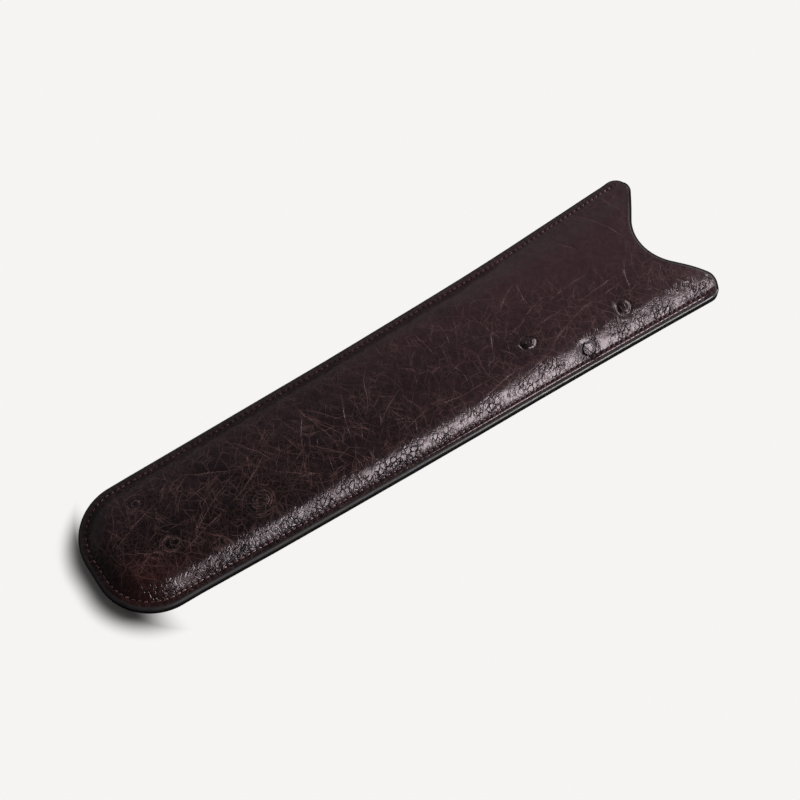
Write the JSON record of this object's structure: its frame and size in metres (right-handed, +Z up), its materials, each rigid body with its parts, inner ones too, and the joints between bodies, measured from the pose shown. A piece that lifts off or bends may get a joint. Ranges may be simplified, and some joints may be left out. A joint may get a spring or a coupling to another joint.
{
  "type": "comb case",
  "caption": "Flat sewn leather sleeve for a comb, lined and stiffened, round at its closed end and scooped between two horns at its open mouth.",
  "frame": {"origin": "centre of the case's bounding box, on the plane of its flat back face", "axes": "+X along the case towards its open mouth, +Z up out of the front face, +Y across"},
  "size_m": [0.18, 0.0448, 0.0084],
  "materials": {
    "ostrich_leather": "Dark brown glazed ostrich leather with creases and a few quill bumps, semi-gloss.",
    "lining_leather": "Thin smooth black-brown lining leather, satin.",
    "stiffener_board": "Bonded leather-fibre board, matt, hidden between leather and lining.",
    "welt_leather": "Leather strip in the seam, its edge dyed and burnished black.",
    "sewing_thread": "Waxed dark red polyester thread."
  },
  "bodies": {
    "root": {"front_outer": "ostrich_leather", "front_stiffener": "stiffener_board", "front_lining": "lining_leather", "welt": "welt_leather", "back_lining": "lining_leather", "back_stiffener": "stiffener_board", "back_outer": "ostrich_leather", "front_thread": "sewing_thread", "back_thread": "sewing_thread"}
  },
  "joints": []
}
